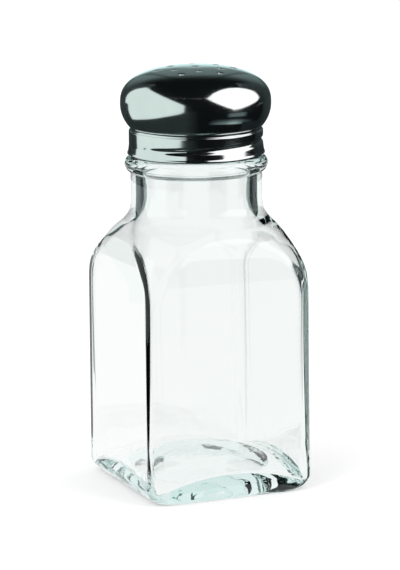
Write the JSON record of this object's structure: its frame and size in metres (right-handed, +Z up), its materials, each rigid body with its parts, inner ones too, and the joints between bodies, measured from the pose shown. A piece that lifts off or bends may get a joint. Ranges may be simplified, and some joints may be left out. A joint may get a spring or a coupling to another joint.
{
  "type": "salt and spice shaker",
  "caption": "Square clear glass shaker jar with a round shoulder and neck, and a polished metal screw cap with a mushroom dome pierced by small pouring holes.",
  "frame": {"origin": "on the resting plane, in the middle of the square base", "axes": "+Z up along the jar's axis; the flat sides face along X and Y"},
  "size_m": [0.0468, 0.0468, 0.113],
  "materials": {
    "clear_glass": "clear, fire polished, faint green in the thick edges",
    "polished_metal": "mirror polished",
    "ring_plastic": "smooth, milky"
  },
  "bodies": {
    "jar": {"glass_jar": "clear_glass"},
    "ring": {"sealing_ring": "ring_plastic"},
    "cap": {"shaker_cap": "polished_metal"}
  },
  "joints": [
    {"name": "cap_lift", "type": "slide", "parent": "jar", "child": "ring", "axis": [0, 0, 1], "range_m": [0, 0.0141]},
    {"name": "cap_turn", "type": "hinge", "parent": "ring", "child": "cap", "pos_m": [0, 0, 0.0933], "axis": [0, 0, 1], "range_deg": [0, 1440]}
  ],
  "couplings": [
    {"joint": "cap_lift", "follows": "cap_turn", "m_per_rad": 0.00055704}
  ]
}
